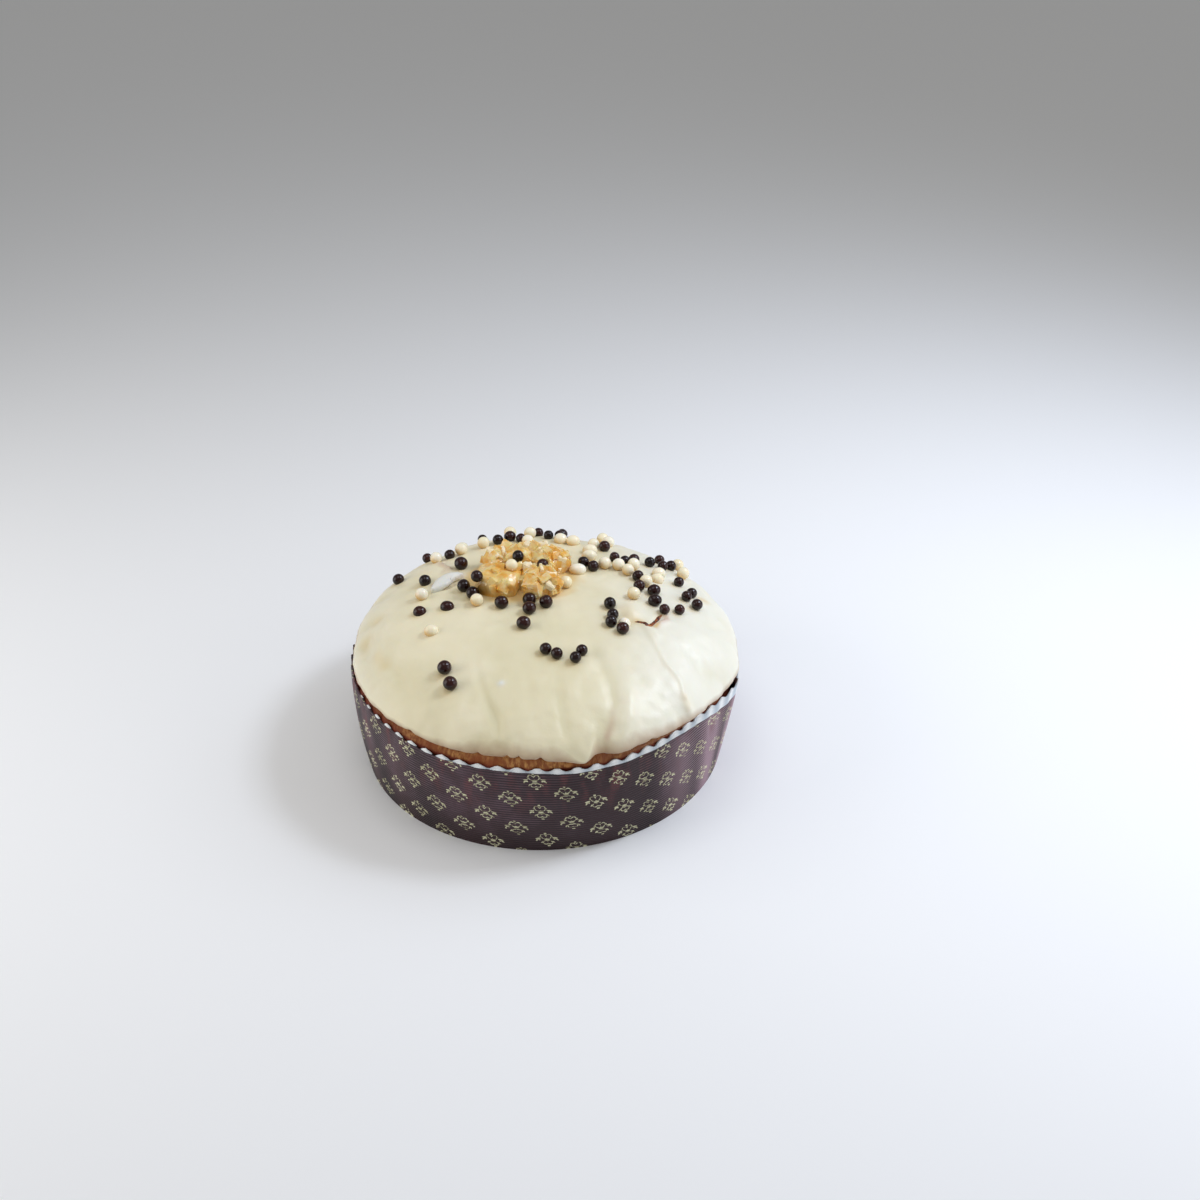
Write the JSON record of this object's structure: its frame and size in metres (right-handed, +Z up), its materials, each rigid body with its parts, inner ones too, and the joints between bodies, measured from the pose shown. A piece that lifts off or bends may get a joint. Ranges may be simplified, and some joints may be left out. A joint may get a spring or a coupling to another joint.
{
  "type": "pear chocolate panettone",
  "caption": "Low round sweet bread in a scalloped paper baking case, domed above it, coated in ivory chocolate and topped with chocolate pearls and candied pear.",
  "frame": {"origin": "on the floor, under the middle of the whole outline", "axes": "+Z up, -Y towards the side seen first, +X to its right"},
  "size_m": [0.2018, 0.2026, 0.099],
  "materials": {
    "case_wall": "finely ribbed brown-mauve paper with a cream floral print and a white margin folded at the scalloped rim",
    "case_base": "plain brown ribbed paper",
    "loaf": "browned fibrous crust, matt",
    "coating": "ivory chocolate coating, satin, with dark and ivory chocolate pearls, glossy",
    "candied_pear": "amber candied fruit, translucent, crusted with clear sugar"
  },
  "bodies": {
    "root": {"case_wall": "case_wall", "case_base": "case_base", "loaf": "loaf", "coating": "coating", "pear_chunk_1": "candied_pear", "pear_chunk_2": "candied_pear", "pear_chunk_3": "candied_pear", "pear_chunk_4": "candied_pear", "pear_chunk_5": "candied_pear"}
  },
  "joints": []
}
